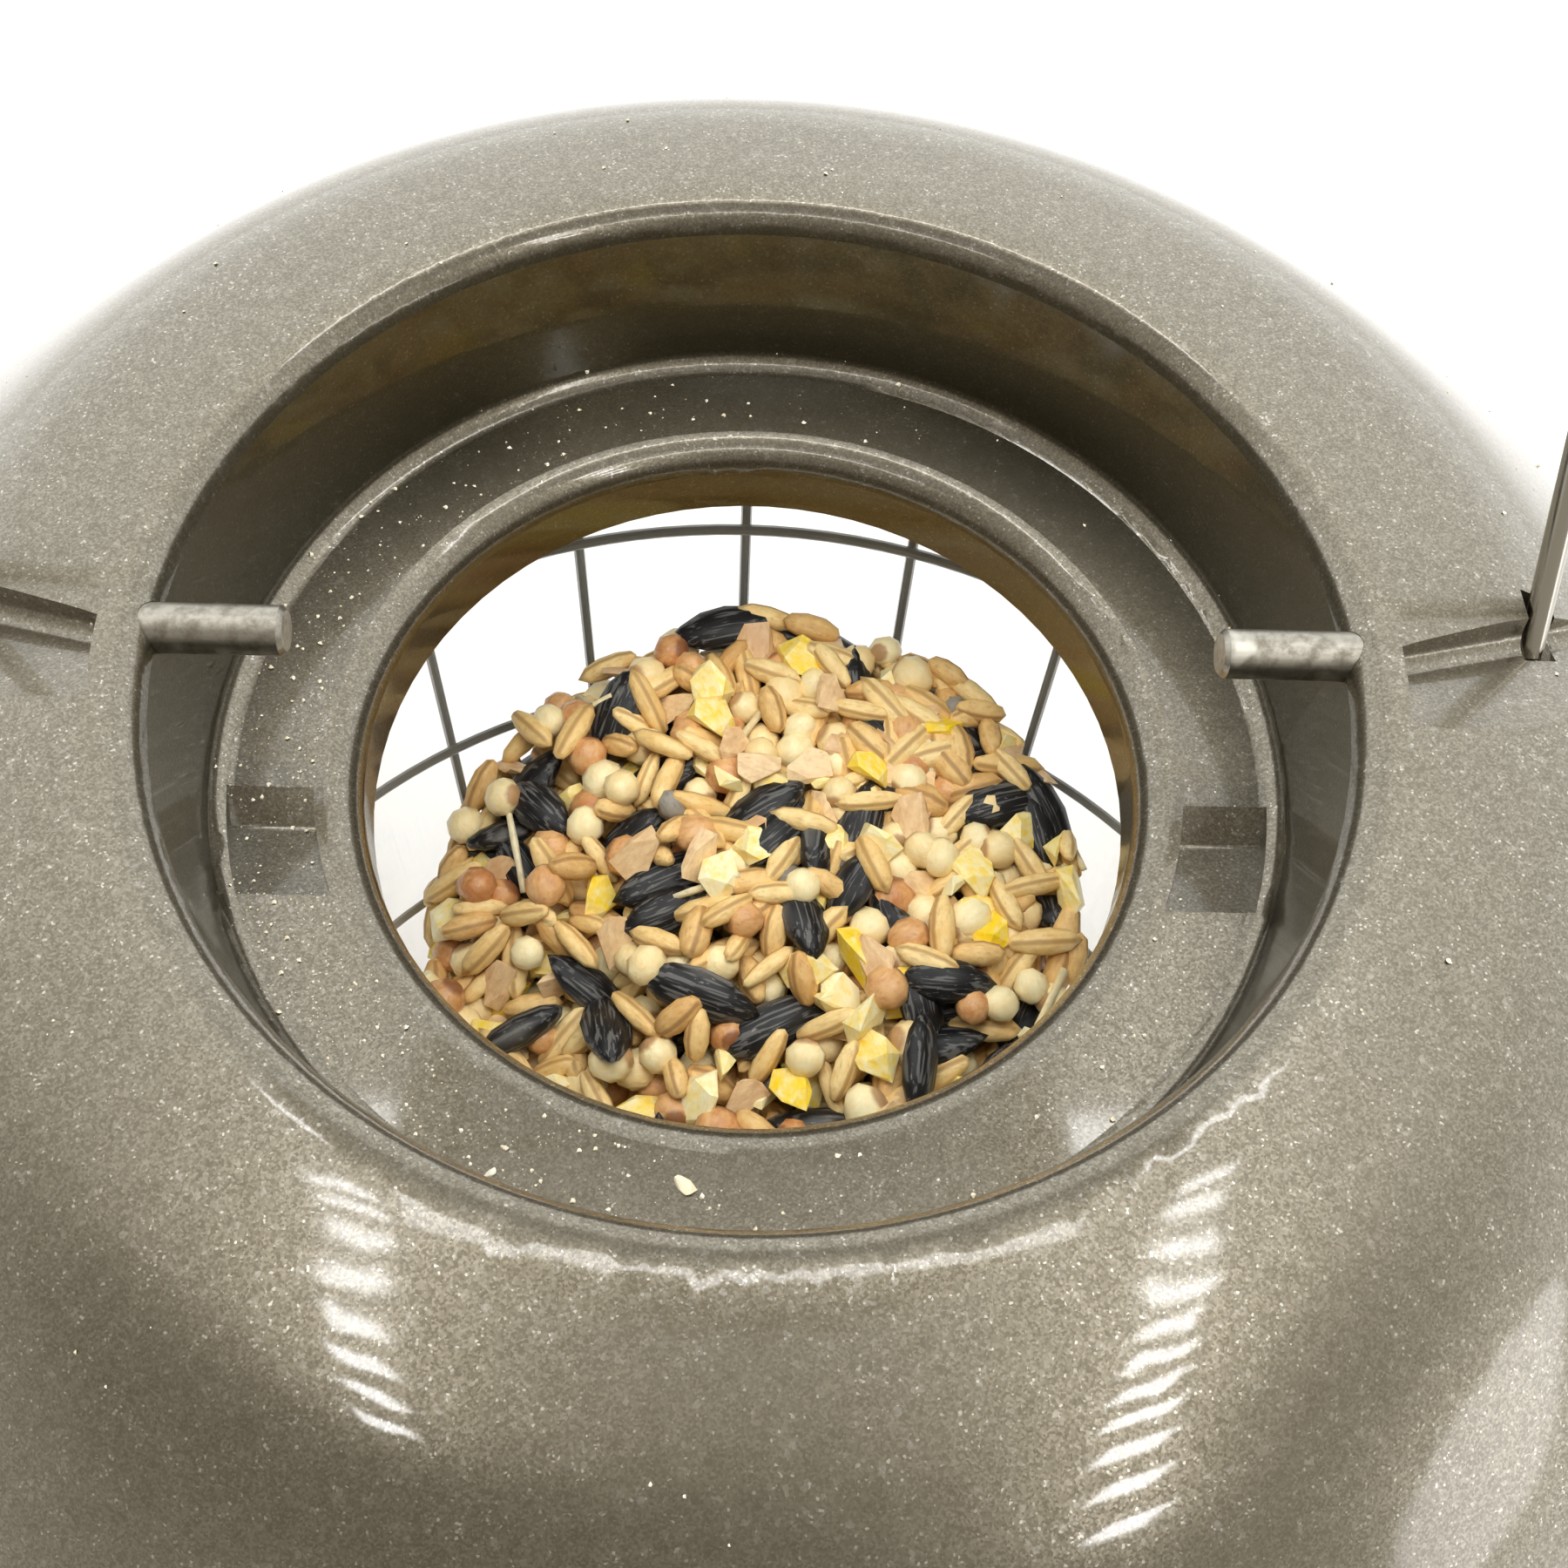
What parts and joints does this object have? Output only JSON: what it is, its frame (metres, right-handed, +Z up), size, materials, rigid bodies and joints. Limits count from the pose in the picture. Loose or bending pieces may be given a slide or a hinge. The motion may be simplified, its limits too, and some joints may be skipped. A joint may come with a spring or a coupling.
{
  "type": "squirrel-proof bird feeder",
  "caption": "Caged tube bird feeder with a domed roof, filling well, twist-lock lid, wire bail, feeding ports and a seed tray.",
  "frame": {"origin": "centre of the seed tray's foot ring, on the floor that it stands on", "axes": "+Z up along the seed tube, +X through the right-hand lid pin, -Y towards the front of the picture"},
  "size_m": [0.25, 0.25, 0.4724],
  "materials": {
    "pewter_plastic": "pewter metal-flake gloss",
    "bright_steel": "drawn stainless wire",
    "cage_steel": "dark satin coat",
    "clear_plastic": "clear polycarbonate",
    "seed": "mixed seed",
    "black_rubber": "soft matte",
    "dark_plastic": "fine moulded texture"
  },
  "bodies": {
    "feeder": {"dome_roof": "pewter_plastic", "lid_pin_left": "bright_steel", "lid_pin_right": "bright_steel", "seed_tube": "clear_plastic", "tube_gasket": "black_rubber", "seed_mix": "seed", "seed_baffle": "dark_plastic", "tube_foot": "dark_plastic", "seed_tray": "pewter_plastic", "tray_bolt": "bright_steel", "tray_washer": "bright_steel", "wing_nut": "dark_plastic", "cage_wires": "cage_steel", "cage_hoop_1": "cage_steel", "cage_hoop_2": "cage_steel", "cage_hoop_3": "cage_steel", "cage_hoop_4": "cage_steel", "cage_hoop_5": "cage_steel", "cage_hoop_6": "cage_steel", "roof_clips": "dark_plastic", "roof_screws": "bright_steel", "tray_clips": "dark_plastic", "tray_screws": "bright_steel", "port_1": "dark_plastic", "port_2": "dark_plastic", "port_3": "dark_plastic", "port_4": "dark_plastic", "perch_1": "dark_plastic", "perch_2": "dark_plastic", "perch_3": "dark_plastic", "perch_4": "dark_plastic"},
    "bail": {"bail": "bright_steel", "bail_stops": "bright_steel"},
    "lid_plate": {"lid_plate": "dark_plastic", "lid_seal": "black_rubber", "lid_plate_screw": "bright_steel"},
    "lid": {"lid_cap": "pewter_plastic", "lid_grip": "dark_plastic", "lid_grip_screws": "bright_steel"}
  },
  "joints": [
    {"name": "bail_swing", "type": "hinge", "parent": "feeder", "child": "bail", "pos_m": [0, 0.00343, 0.32049], "axis": [1, 0, 0], "range_deg": [0, 68]},
    {"name": "lid_lift", "type": "slide", "parent": "feeder", "child": "lid_plate", "axis": [0, 0, 1], "range_m": [-0.124, 0]},
    {"name": "lid_turn", "type": "hinge", "parent": "lid_plate", "child": "lid", "pos_m": [0, 0, 0.44], "axis": [0, 0, 1], "range_deg": [-25, 0]}
  ]
}
